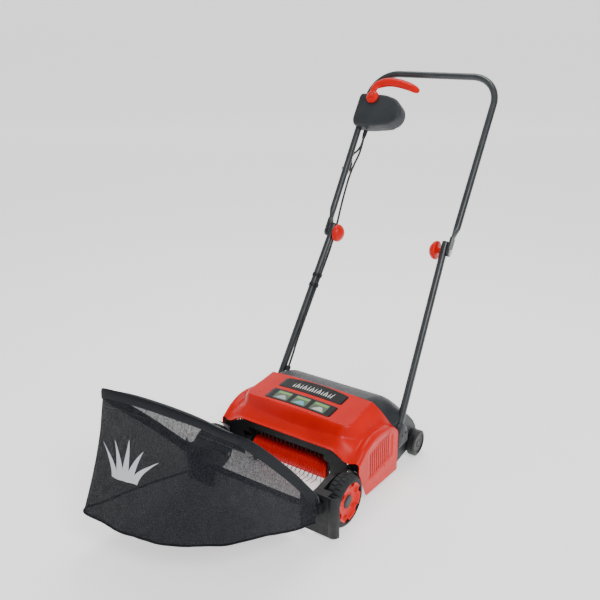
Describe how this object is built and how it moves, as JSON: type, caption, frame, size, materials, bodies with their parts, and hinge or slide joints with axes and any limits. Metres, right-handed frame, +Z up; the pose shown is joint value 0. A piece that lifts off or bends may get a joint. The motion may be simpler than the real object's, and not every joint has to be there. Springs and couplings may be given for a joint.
{
  "type": "electric lawn raker",
  "caption": "Electric lawn dethatcher: red and black wheeled housing, spring-tine raking cylinder, folding tube handle with a switch box, and a mesh collecting bag in front.",
  "frame": {"origin": "on the ground, under the middle of the whole machine (bag front to handle back)", "axes": "+Z up; -Y is the front, where the bag hangs and the direction of travel; +Y is towards the operator; +X is the side away from the switch box"},
  "size_m": [0.524, 1.4074, 1.0995],
  "materials": {
    "red_gloss": "glossy moulded ABS, red",
    "black_plastic": "fine-textured moulded plastic, black",
    "grey_plastic": "fine-textured moulded plastic, dark grey",
    "wheel_tread": "ribbed hard rubber tread",
    "tube_paint": "powder-coated steel tube, dark grey",
    "steel": "zinc-plated steel",
    "spring_steel": "dark spring steel wire",
    "copper": "lacquered copper and steel laminations",
    "cord_rubber": "black flexible cable sheath",
    "brass_pin": "nickel-plated brass pins and plug body",
    "label": null,
    "mesh_fabric": "open woven polyester mesh, charcoal"
  },
  "bodies": {
    "chassis": {"base_pan": "black_plastic", "top_cover": "red_gloss", "rear_housing": "grey_plastic", "wheel_guard_left": "black_plastic", "wheel_guard_right": "black_plastic", "cover_labels": "label", "front_axle_left": "steel", "front_axle_right": "steel", "rear_axle": "steel", "rake_bearing_left": "steel", "rake_bearing_right": "steel", "drive_belt": "cord_rubber", "belt_guard": "black_plastic", "motor_mount": "black_plastic", "motor_can": "steel", "lower_tube_left": "tube_paint", "lower_tube_right": "tube_paint", "tube_end_plugs": "black_plastic", "fold_bolt_left": "steel", "fold_bolt_right": "steel", "motor_lead": "cord_rubber", "lead_grommet": "black_plastic", "cable_clips": "black_plastic", "socket_screws": "spring_steel"},
    "rake": {"rake_drum": "red_gloss", "rake_shaft": "steel", "rake_tines": "spring_steel", "rake_pulley": "grey_plastic"},
    "motor_armature": {"motor_rotor": "copper", "motor_pulley": "steel"},
    "handle": {"upper_handle": "tube_paint", "switch_box_front": "grey_plastic", "switch_box_back": "grey_plastic", "microswitch": "black_plastic", "lever_spring": "spring_steel", "switch_box_screws": "steel", "lead_relief": "black_plastic", "pigtail_relief": "black_plastic", "mains_pigtail": "cord_rubber", "mains_plug": "cord_rubber"},
    "lever": {"switch_lever": "red_gloss"},
    "button": {"lock_off_button": "red_gloss"},
    "bag": {"bag_fabric": "mesh_fabric", "bag_hoop": "tube_paint", "hoop_collars": "black_plastic"},
    "front_wheel_left": {"front_tyre_left": "wheel_tread", "front_hub_left": "red_gloss", "front_hub_cap_left": "grey_plastic"},
    "rear_wheel_body_left": {"rear_wheel_left": "black_plastic", "rear_wheel_cap_left": "grey_plastic"},
    "knob_left": {"clamp_knob_left": "red_gloss"},
    "front_wheel_right": {"front_tyre_right": "wheel_tread", "front_hub_right": "red_gloss", "front_hub_cap_right": "grey_plastic"},
    "rear_wheel_body_right": {"rear_wheel_right": "black_plastic", "rear_wheel_cap_right": "grey_plastic"},
    "knob_right": {"clamp_knob_right": "red_gloss"}
  },
  "joints": [
    {"name": "front_wheel_left_spin", "type": "hinge", "parent": "chassis", "child": "front_wheel_left", "pos_m": [0.232, -0.2457, 0.072], "axis": [1, 0, 0], "continuous": true},
    {"name": "rear_wheel_left_spin", "type": "hinge", "parent": "chassis", "child": "rear_wheel_body_left", "pos_m": [0.2426, 0.1647, 0.0405], "axis": [1, 0, 0], "continuous": true},
    {"name": "knob_left_turn", "type": "hinge", "parent": "chassis", "child": "knob_left", "pos_m": [0.175, 0.3771, 0.5959], "axis": [1, 0, 0], "continuous": true},
    {"name": "front_wheel_right_spin", "type": "hinge", "parent": "chassis", "child": "front_wheel_right", "pos_m": [-0.232, -0.2457, 0.072], "axis": [1, 0, 0], "continuous": true},
    {"name": "rear_wheel_right_spin", "type": "hinge", "parent": "chassis", "child": "rear_wheel_body_right", "pos_m": [-0.2426, 0.1647, 0.0405], "axis": [1, 0, 0], "continuous": true},
    {"name": "knob_right_turn", "type": "hinge", "parent": "chassis", "child": "knob_right", "pos_m": [-0.175, 0.3771, 0.5959], "axis": [1, 0, 0], "continuous": true},
    {"name": "rake_spin", "type": "hinge", "parent": "chassis", "child": "rake", "pos_m": [0, -0.1507, 0.077], "axis": [1, 0, 0], "continuous": true},
    {"name": "motor_spin", "type": "hinge", "parent": "chassis", "child": "motor_armature", "pos_m": [0, -0.0377, 0.14], "axis": [1, 0, 0], "continuous": true},
    {"name": "handle_fold", "type": "hinge", "parent": "chassis", "child": "handle", "pos_m": [0, 0.3771, 0.5959], "axis": [1, 0, 0], "range_deg": [0, 140], "deforming": ["motor_lead"]},
    {"name": "lever_pull", "type": "hinge", "parent": "handle", "child": "lever", "pos_m": [-0.186, 0.60215, 1.01941], "axis": [0, -0.842, 0.5395], "range_deg": [0, 7], "stiffness_Nm_per_rad": 2, "springref_deg": -20.05},
    {"name": "lock_off_press", "type": "slide", "parent": "handle", "child": "button", "axis": [0, 0.842, -0.5395], "range_m": [0, 0.004], "stiffness_N_per_m": 500, "springref_m": -0.004},
    {"name": "bag_lift", "type": "slide", "parent": "chassis", "child": "bag", "axis": [0, 0, 1], "range_m": [0, 0.05]}
  ],
  "couplings": [
    {"joint": "motor_spin", "follows": "rake_spin", "ratio": 2.3636}
  ]
}
